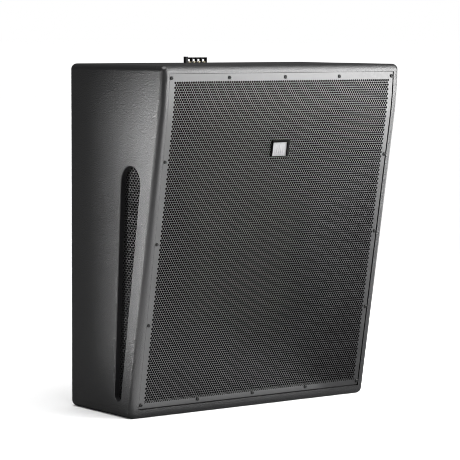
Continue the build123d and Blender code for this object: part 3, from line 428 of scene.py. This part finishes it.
def make_port_foam(side, material):
    """Black foam-textured sheet in the mouth of one port's duct, close behind its mesh: painted shade, a dark
    sheet standing in for the shade inside the duct.
    """
    name = ("left" if side < 0 else "right") + "_port_foam"
    mesh_low, mesh_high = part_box(name.replace("foam", "mesh"))
    front_x = max(mesh_high.x, -mesh_low.x) - PORT_MESH_T - PORT_FOAM_GAP
    ends = sorted((side * front_x, side * (front_x - PORT_FOAM_T)))
    shape = Shape()
    shape.loft([port_ring(x) for x in ends], Matrix())
    add_piece(name, shape.mesh(name), [material])


# ---------------------------------------------------------------- screws
def screw_places():
    """Middle of each screw round the grille's border, as (across, down)."""
    length = down_at(0.0)
    reach = HALF_WIDTH - SCREW_INSET_SIDE
    gaps = SCREWS_ALONG - 1
    step = (length - SCREW_INSET_TOP - SCREW_INSET_BOTTOM) / gaps
    places = []
    for row in range(SCREWS_ALONG):
        for column in range(SCREWS_ALONG):
            if row in (0, gaps) or column in (0, gaps):
                places.append((reach * (2 * column / gaps - 1), SCREW_INSET_TOP + row * step))
    return places


def screw_rings():
    """Outline of a button-head screw from the end of its shank round to its socket's floor."""
    rings = [round_ring(SCREW_R, -SCREW_LENGTH), round_ring(SCREW_R, 0), round_ring(SCREW_HEAD_R, 0)]
    for step in range(SCREW_DOME_STEPS + 1):
        turn = math.pi / 2 * step / SCREW_DOME_STEPS
        radius = SCREW_FLAT_R + (SCREW_HEAD_R - SCREW_FLAT_R) * math.cos(turn)
        height = SCREW_SIDE_H + (SCREW_HEAD_H - SCREW_SIDE_H) * math.sin(turn)
        rings.append(round_ring(radius, height))
    rings.append(hexagon_ring(SCREW_SOCKET + SCREW_LIP, SCREW_HEAD_H))
    rings.append(hexagon_ring(SCREW_SOCKET, SCREW_HEAD_H - SCREW_LIP))
    rings.append(hexagon_ring(SCREW_SOCKET, SCREW_SOCKET_Z))
    return rings


def make_grille_screws(material):
    """Sixteen button-head screws, each turned to an angle of its own."""
    shape = Shape()
    rings = screw_rings()
    for number, (across, down) in enumerate(screw_places()):
        spin = Matrix.Rotation(math.radians(SCREW_SPIN * number), 4, "Z")
        place = Matrix.Translation(front_point(across, down, SHEET_INSET))
        shape.loft(rings, place @ front_turn(down) @ spin)
    mesh = shape.mesh("grille_screw_set")
    add_piece("grille_screw_set", mesh, [material], ["grille_screws"], smooth=40.0)


# ---------------------------------------------------------------- badge
def slab_rings(width, height, radius, low, high, edge, x=0.0, y=0.0):
    """Flat piece with round corners and a small rolled upper edge."""
    rings = [rounded_rectangle(width, height, radius, low, x, y)]
    for step in range(EDGE_STEPS + 1):
        turn = math.pi / 2 * step / EDGE_STEPS
        shrink = 2 * edge * (1 - math.cos(turn))
        z = high - edge + edge * math.sin(turn)
        ring_r = radius - shrink / 2
        rings.append(rounded_rectangle(width - shrink, height - shrink, ring_r, z, x, y))
    return rings


def make_badge_plate(material):
    """Brushed plate with rolled edges and a plain row of bars in relief."""
    low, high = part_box("badge_plate")
    width = high.x - low.x
    height = (high.z - low.z - BADGE_PLATE_T * math.sin(LEAN)) / math.cos(LEAN)
    half_t = BADGE_PLATE_T / 2
    place = Matrix.Translation((low + high) / 2) @ front_turn(BEND_LENGTH)
    shape = Shape()
    shape.loft(slab_rings(width, height, BADGE_CORNER_R, -half_t, half_t, BADGE_EDGE), place)
    bar_width = width * BAR_WIDTH
    bar_top = half_t + BADGE_RELIEF
    middle = len(BAR_HEIGHTS) // 2
    for number, share in enumerate(BAR_HEIGHTS):
        bar_height = height * BAR_TALLEST * share
        x = width * BAR_STEP * (number - middle)
        y = (bar_height - height * BAR_TALLEST) / 2
        shape.loft(slab_rings(bar_width, bar_height, BAR_CORNER_R, 0, bar_top, BAR_EDGE, x, y), place)
    mesh = shape.mesh("badge_face")
    add_piece("badge_face", mesh, [material], ["badge_plate"])


# ---------------------------------------------------------------- materials
class Surface:
    """A Principled material and the nodes that give it its detail."""

    def __init__(self, name, colour, roughness, metallic=0.0, specular=0.5):
        self.material = bpy.data.materials.new(name)
        self.material.use_nodes = True
        self.tree = self.material.node_tree
        self.shader = self.tree.nodes["Principled BSDF"]
        self.colour = colour
        self.shader.inputs["Base Color"].default_value = (*colour, 1)
        self.shader.inputs["Roughness"].default_value = roughness
        self.shader.inputs["Metallic"].default_value = metallic
        self.shader.inputs["Specular IOR Level"].default_value = specular
        self.place = self.tree.nodes.new("ShaderNodeTexCoord").outputs["Object"]

    def link(self, source, target):
        self.tree.links.new(source, target)

    def stretched(self, scale):
        """Object coordinates scaled along each axis."""
        mapping = self.tree.nodes.new("ShaderNodeMapping")
        mapping.inputs["Scale"].default_value = scale
        self.link(self.place, mapping.inputs["Vector"])
        return mapping.outputs["Vector"]

    def noise(self, size, detail=3.0, rough=0.55, stretch=(1, 1, 1)):
        """Noise whose features are about size metres across."""
        texture = self.tree.nodes.new("ShaderNodeTexNoise")
        texture.inputs["Scale"].default_value = 1 / size
        texture.inputs["Detail"].default_value = detail
        texture.inputs["Roughness"].default_value = rough
        self.link(self.stretched(stretch), texture.inputs["Vector"])
        return texture.outputs["Fac"]

    def cells(self, size):
        """Distance to the nearest of many random points about size metres apart."""
        texture = self.tree.nodes.new("ShaderNodeTexVoronoi")
        texture.inputs["Scale"].default_value = 1 / size
        self.link(self.place, texture.inputs["Vector"])
        return texture.outputs["Distance"]

    def spread(self, source, low, high, from_low=0.3, from_high=0.7):
        """Rescales a value."""
        ranged = self.tree.nodes.new("ShaderNodeMapRange")
        ranged.inputs["From Min"].default_value = from_low
        ranged.inputs["From Max"].default_value = from_high
        ranged.inputs["To Min"].default_value = low
        ranged.inputs["To Max"].default_value = high
        self.link(source, ranged.inputs["Value"])
        return ranged.outputs["Result"]

    def tint(self, source, other, low=0.35, high=0.65):
        """Base colour that runs from the material's own to another with a value."""
        ramp = self.tree.nodes.new("ShaderNodeValToRGB")
        first, last = ramp.color_ramp.elements
        first.position = low
        first.color = (*self.colour, 1)
        last.position = high
        last.color = (*other, 1)
        self.link(source, ramp.inputs["Fac"])
        self.link(ramp.outputs["Color"], self.shader.inputs["Base Color"])

    def rough(self, source, low, high):
        """Roughness that varies with a value."""
        self.link(self.spread(source, low, high), self.shader.inputs["Roughness"])

    def relief(self, *layers):
        """Surface relief from (value, height in metres) layers, one on top of another."""
        normal = None
        for source, height in layers:
            bump = self.tree.nodes.new("ShaderNodeBump")
            bump.inputs["Distance"].default_value = height
            self.link(source, bump.inputs["Height"])
            if normal:
                self.link(normal, bump.inputs["Normal"])
            normal = bump.outputs["Normal"]
        self.link(normal, self.shader.inputs["Normal"])

    def worn_edges(self, worn, radius, amount):
        """Mixes a worn colour in along the edges of the shape."""
        bevel = self.tree.nodes.new("ShaderNodeBevel")
        bevel.samples = 4
        bevel.inputs["Radius"].default_value = radius
        geometry = self.tree.nodes.new("ShaderNodeNewGeometry")
        dot = self.tree.nodes.new("ShaderNodeVectorMath")
        dot.operation = "DOT_PRODUCT"
        self.link(bevel.outputs["Normal"], dot.inputs[0])
        self.link(geometry.outputs["Normal"], dot.inputs[1])
        broken = self.tree.nodes.new("ShaderNodeMath")
        broken.operation = "MULTIPLY"
        self.link(self.spread(dot.outputs["Value"], amount, 0.0, 0.75, 0.97), broken.inputs[0])
        self.link(self.spread(self.noise(6 * MM), 0.0, 1.0, 0.42, 0.62), broken.inputs[1])
        mix = self.tree.nodes.new("ShaderNodeMix")
        mix.data_type = "RGBA"
        self.link(broken.outputs["Value"], mix.inputs["Factor"])
        before = self.shader.inputs["Base Color"]
        if before.is_linked:
            self.link(before.links[0].from_socket, mix.inputs["A"])
        mix.inputs["A"].default_value = (*self.colour, 1)
        mix.inputs["B"].default_value = (*worn, 1)
        self.link(mix.outputs["Result"], before)


def cabinet_paint():
    """Hard-wearing satin black paint with a fine pebble, over plywood."""
    look = Surface("cabinet_paint", (0.008, 0.008, 0.0085), 0.33)
    look.relief((look.noise(10 * MM, 4, 0.6), 0.16 * MM), (look.cells(2.4 * MM), 0.46 * MM))
    look.rough(look.noise(35 * MM, 4, 0.6), 0.3, 0.37)
    look.tint(look.noise(1.3 * MM, 2, 0.6), (0.014, 0.014, 0.0145))
    look.worn_edges((0.075, 0.072, 0.07), 2.5 * MM, 0.4)
    return look.material


def grille_paint(name, specular=0.5):
    """Semi-gloss black powder coat on perforated steel."""
    look = Surface(name, (0.012, 0.012, 0.0125), 0.34, specular=specular)
    look.rough(look.noise(9 * MM, 3, 0.6), 0.3, 0.38)
    look.relief((look.noise(0.9 * MM, 2, 0.5), 0.06 * MM))
    look.tint(look.noise(60 * MM, 3, 0.6), (0.018, 0.018, 0.0185))
    return look.material


def hole_edge_shade():
    """Dull near-black on the holes' rolled rims and walls and on the sheets' cut edges: painted shade, much darker
    and duller than the grille's own paint.
    """
    look = Surface("hole_edge_shade", (0.002, 0.002, 0.002), 0.8, specular=0.0)
    look.relief((look.noise(0.5 * MM, 2, 0.6), 0.05 * MM))
    look.rough(look.noise(2 * MM, 3, 0.6), 0.7, 0.9)
    look.tint(look.noise(5 * MM, 3, 0.6), (0.004, 0.004, 0.004))
    return look.material


def plastic(name, colour, roughness, size=0.8 * MM, specular=0.5):
    """Moulded plastic with a fine spark-eroded grain."""
    look = Surface(name, colour, roughness, specular=specular)
    look.relief((look.noise(size, 3, 0.6), 0.05 * MM))
    look.rough(look.noise(12 * MM, 3, 0.6), roughness - 0.06, roughness + 0.08)
    look.tint(look.noise(20 * MM, 3, 0.6), tuple(c * 1.5 + 0.004 for c in colour))
    return look.material


def metal(name, colour, roughness, stretch=(1, 1, 1), size=1.5 * MM):
    """Bare metal with fine marks, directional where the stretch is uneven."""
    look = Surface(name, colour, roughness, metallic=1.0)
    marks = look.noise(size, 5, 0.65, stretch)
    look.rough(marks, roughness - 0.08, roughness + 0.12)
    look.relief((marks, 0.03 * MM))
    look.tint(look.noise(15 * MM, 3, 0.6), tuple(c * 0.86 for c in colour))
    return look.material


def black_steel(name):
    """Black oxide on steel, rubbed brighter along its edges."""
    look = Surface(name, (0.006, 0.006, 0.006), 0.38, specular=0.2)
    look.rough(look.noise(3 * MM, 3, 0.6), 0.32, 0.46)
    look.relief((look.noise(0.6 * MM, 2, 0.5), 0.02 * MM))
    look.worn_edges((0.09, 0.087, 0.085), 0.3 * MM, 0.4)
    return look.material


def brushed_silver():
    """Satin silver lacquer over fine upright brush marks."""
    look = Surface("badge_silver", (0.12, 0.12, 0.123), 0.55, specular=0.35)
    marks = look.noise(0.7 * MM, 5, 0.65, (1, 0.1, 0.1))
    look.rough(marks, 0.5, 0.66)
    look.relief((marks, 0.06 * MM), (look.noise(5 * MM, 2, 0.5), 0.1 * MM))
    look.tint(marks, (0.2, 0.2, 0.203))
    return look.material


def foam(name, colour, size):
    """Open-cell foam."""
    look = Surface(name, colour, 0.95, specular=0.0)
    look.relief((look.cells(size), 0.8 * MM))
    look.tint(look.cells(size), tuple(c * 2.2 for c in colour), 0.2, 0.8)
    return look.material


def cloth(name, colour, size):
    """Woven or needled fabric."""
    look = Surface(name, colour, 0.9, specular=0.2)
    wave = look.tree.nodes.new("ShaderNodeTexWave")
    wave.inputs["Scale"].default_value = 0.3 / size
    wave.inputs["Distortion"].default_value = 1.5
    look.link(look.place, wave.inputs["Vector"])
    look.relief((wave.outputs["Fac"], 0.15 * MM), (look.noise(size, 4, 0.7), 0.3 * MM))
    look.tint(look.noise(4 * size, 4, 0.6), tuple(c * 1.5 + 0.01 for c in colour))
    return look.material


def plywood(name, light, dark):
    """Plywood with its grain running along X."""
    look = Surface(name, light, 0.6)
    grain = look.noise(3 * MM, 5, 0.6, (0.08, 1, 1))
    look.tint(grain, dark)
    look.relief((grain, 0.12 * MM))
    look.rough(grain, 0.5, 0.7)
    return look.material


def pulp(name, colour):
    """Pressed paper pulp with short fibres."""
    look = Surface(name, colour, 0.75, specular=0.3)
    fibres = look.noise(1.8 * MM, 6, 0.75)
    look.relief((fibres, 0.12 * MM))
    look.tint(fibres, tuple(c * 1.8 + 0.01 for c in colour))
    return look.material


def ceramic(name, colour):
    """Sintered ferrite with ground faces."""
    look = Surface(name, colour, 0.45)
    look.rough(look.noise(2 * MM, 5, 0.7), 0.36, 0.6)
    look.relief((look.noise(1.2 * MM, 4, 0.6), 0.06 * MM))
    look.tint(look.noise(8 * MM, 4, 0.6), tuple(c * 1.6 for c in colour))
    return look.material


def all_materials():
    """One material for each material slot of the record."""
    return {
        "cabinet_paint": cabinet_paint(),
        "baffle_ply": plywood("baffle_ply", (0.014, 0.014, 0.014), (0.03, 0.029, 0.028)),
        "brace_ply": plywood("brace_ply", (0.62, 0.46, 0.29), (0.42, 0.28, 0.15)),
        "lining_felt": cloth("lining_felt", (0.5, 0.5, 0.48), 2.5 * MM),
        "insert_steel": metal("insert_steel", (0.6, 0.6, 0.58), 0.32),
        "insert_brass": metal("insert_brass", (0.2, 0.17, 0.11), 0.42),
        "grille_steel": grille_paint("grille_steel"),
        "grille_foam": foam("grille_foam", (0.002, 0.002, 0.002), 1.4 * MM),
        "black_screw": black_steel("black_screw"),
        "badge_black": plastic("badge_black", (0.002, 0.002, 0.002), 0.8, specular=0.03),
        "badge_silver": brushed_silver(),
        "port_mesh_steel": grille_paint("port_mesh_steel", 0.3),
        "port_duct_plastic": plastic("port_duct_plastic", (0.01, 0.01, 0.01), 0.5),
        "strip_plastic": plastic("strip_plastic", (0.003, 0.003, 0.003), 0.5, 0.5 * MM, 0.1),
        "clamp_screw_steel": metal("clamp_screw_steel", (0.2, 0.2, 0.19), 0.4, size=0.7 * MM),
        "driver_frame": plastic("driver_frame", (0.02, 0.02, 0.021), 0.45, 1.2 * MM),
        "gasket_foam": foam("gasket_foam", (0.02, 0.02, 0.02), 0.7 * MM),
        "surround_cloth": cloth("surround_cloth", (0.02, 0.019, 0.018), 0.6 * MM),
        "cone_paper": pulp("cone_paper", (0.03, 0.03, 0.03)),
        "coil_copper": metal("coil_copper", (0.78, 0.4, 0.2), 0.3, (1, 1, 6), 0.6 * MM),
        "motor_steel": metal("motor_steel", (0.55, 0.55, 0.56), 0.36),
        "ferrite": ceramic("ferrite", (0.05, 0.05, 0.055)),
        "horn_plastic": plastic("horn_plastic", (0.016, 0.016, 0.016), 0.42, 1.5 * MM),
        "diaphragm_foil": metal("diaphragm_foil", (0.74, 0.74, 0.76), 0.24),
        "board_laminate": plastic("board_laminate", (0.03, 0.09, 0.04), 0.35),
        "capacitor_film": plastic("capacitor_film", (0.42, 0.3, 0.03), 0.22),
    }


def dress_cad_nodes(materials):
    """Gives every carried-over CAD node the material of its slot."""
    for part in frame["record"]["subparts"]:
        mesh = NODES[part["node"]].data
        mesh.materials.clear()
        mesh.materials.append(materials[part["material_slot"]])


# ---------------------------------------------------------------- stage, lights and camera
def make_floor():
    """Pale studio floor that sends little light back up at the object."""
    mesh = bpy.data.meshes.new("studio_floor")
    half = FLOOR_SIZE / 2
    corners = [(-half, -half, 0), (half, -half, 0), (half, half, 0), (-half, half, 0)]
    mesh.from_pydata(corners, [], [(0, 1, 2, 3)])
    look = Surface("studio_floor", (0.86, 0.86, 0.86), 0.8, specular=0.1)
    look.tint(look.noise(0.5, 3, 0.5), (0.88, 0.88, 0.88))
    dim = look.tree.nodes.new("ShaderNodeBsdfDiffuse")
    dim.inputs["Color"].default_value = FLOOR_BOUNCE
    path = look.tree.nodes.new("ShaderNodeLightPath")
    mix = look.tree.nodes.new("ShaderNodeMixShader")
    look.link(path.outputs["Is Camera Ray"], mix.inputs[0])
    look.link(dim.outputs["BSDF"], mix.inputs[1])
    look.link(look.shader.outputs["BSDF"], mix.inputs[2])
    look.link(mix.outputs[0], look.tree.nodes["Material Output"].inputs["Surface"])
    mesh.materials.append(look.material)
    floor = bpy.data.objects.new("studio_floor", mesh)
    bpy.context.scene.collection.objects.link(floor)


def make_world():
    """Pale backdrop for the camera, and a dimmer even light on the object."""
    world = bpy.data.worlds.new("studio")
    world.use_nodes = True
    bpy.context.scene.world = world
    tree = world.node_tree
    shown = tree.nodes["Background"]
    shown.inputs["Color"].default_value = (1, 1, 1, 1)
    light = tree.nodes.new("ShaderNodeBackground")
    light.inputs["Color"].default_value = (1, 1, 1, 1)
    light.inputs["Strength"].default_value = BACKDROP_LIGHT
    path = tree.nodes.new("ShaderNodeLightPath")
    mix = tree.nodes.new("ShaderNodeMixShader")
    tree.links.new(path.outputs["Is Camera Ray"], mix.inputs[0])
    tree.links.new(light.outputs[0], mix.inputs[1])
    tree.links.new(shown.outputs[0], mix.inputs[2])
    tree.links.new(mix.outputs[0], tree.nodes["World Output"].inputs["Surface"])


def add_light(name, kind, at, towards, energy, size=(1.0, 1.0), spread=180):
    """A lamp at a place, facing another; an area lamp has a width and a height."""
    lamp = bpy.data.lights.new(name, kind)
    lamp.energy = energy
    if kind == "AREA":
        lamp.shape = "RECTANGLE"
        lamp.size, lamp.size_y = size
        lamp.spread = math.radians(spread)
    else:
        lamp.angle = size[0]
    light = bpy.data.objects.new(name, lamp)
    light.location = at
    aim = Vector(towards) - Vector(at)
    light.rotation_euler = aim.to_track_quat("-Z", "Y").to_euler()
    light.visible_camera = False
    bpy.context.scene.collection.objects.link(light)


def make_lights():
    """A broad overhead light, boxes on every side, and low panels for the light off the floor."""
    add_light("overhead", "SUN", (0, 0, 4), (0.3, 0.5, 0), 3.6, (math.radians(60),))
    add_light("left_box", "AREA", (-1.06, 0.63, 0.36), (-0.35, -0.33, 0.46), 0.56, (0.28, 0.66), 20)
    add_light("edge_box", "AREA", (-1.5, -0.05, 0.55), (-0.35, -0.16, 0.5), 1.0, (0.7, 0.8), 50)
    add_light("right_box", "AREA", (1.2, -1.2, 0.85), (0.0, -0.19, 0.8), 72.0, (1.1, 1.3))
    add_light("front_box", "AREA", (0.35, -1.68, 0.85), (-0.1, -0.19, 0.8), 21.0, (0.8, 1.3))
    add_light("rim_box", "AREA", (1.9, 0.2, 0.42), (0.34, -0.1, 0.42), 12.0, (1.2, 0.76))
    add_light("top_box", "AREA", (0.9, -1.1, 1.95), (0.0, -0.19, 0.8), 3.0, (1.4, 0.5), 60)
    add_light("near_bounce", "AREA", (-0.25, -0.5, 0.005), (-0.25, -0.5, 1.0), 6.0, (1.0, 0.8))
    add_light("far_bounce", "AREA", (0.35, -1.2, 0.005), (0.35, -1.2, 1.0), 9.0, (1.2, 0.6))
    add_light("left_bounce", "AREA", (-0.85, -0.7, 0.005), (-0.85, -0.7, 1.0), 2.5, (0.3, 1.3))
    add_light("back_box", "AREA", (0.7, 2.0, 0.35), (0.1, 0.2, 0.45), 14.0, (1.6, 0.6))


def make_camera():
    lens = bpy.data.cameras.new("camera")
    lens.lens = CAMERA_LENS
    lens.sensor_width = CAMERA_SENSOR
    lens.clip_end = CAMERA_REACH
    camera = bpy.data.objects.new("camera", lens)
    aim = Matrix.Rotation(math.radians(-CAMERA_YAW), 4, "Z")
    tilt = Matrix.Rotation(math.radians(90 - CAMERA_DOWN), 4, "X")
    roll = Matrix.Rotation(math.radians(CAMERA_ROLL), 4, "Z")
    camera.matrix_world = Matrix.Translation(CAMERA_AT) @ aim @ tilt @ roll
    bpy.context.scene.collection.objects.link(camera)
    bpy.context.scene.camera = camera
    bpy.context.scene.view_settings.view_transform = "Standard"
    bpy.context.scene.cycles.filter_width = 0.9


# ---------------------------------------------------------------- build
make_camera()
make_floor()
make_world()
make_lights()
MATERIALS = all_materials()
dress_cad_nodes(MATERIALS)
# Painted shade for the rims, walls and edges of the perforated sheets.
HOLE_EDGE_SHADE = hole_edge_shade()
make_grille([MATERIALS["grille_steel"], HOLE_EDGE_SHADE])
make_port_mesh(-1, [MATERIALS["port_mesh_steel"], HOLE_EDGE_SHADE])
make_port_mesh(1, [MATERIALS["port_mesh_steel"], HOLE_EDGE_SHADE])
# Dark sheets behind the port meshes paint the shade inside the ducts.
make_port_foam(-1, MATERIALS["grille_foam"])
make_port_foam(1, MATERIALS["grille_foam"])
make_grille_screws(MATERIALS["black_screw"])
make_badge_plate(MATERIALS["badge_silver"])

bpy.context.view_layer.update()
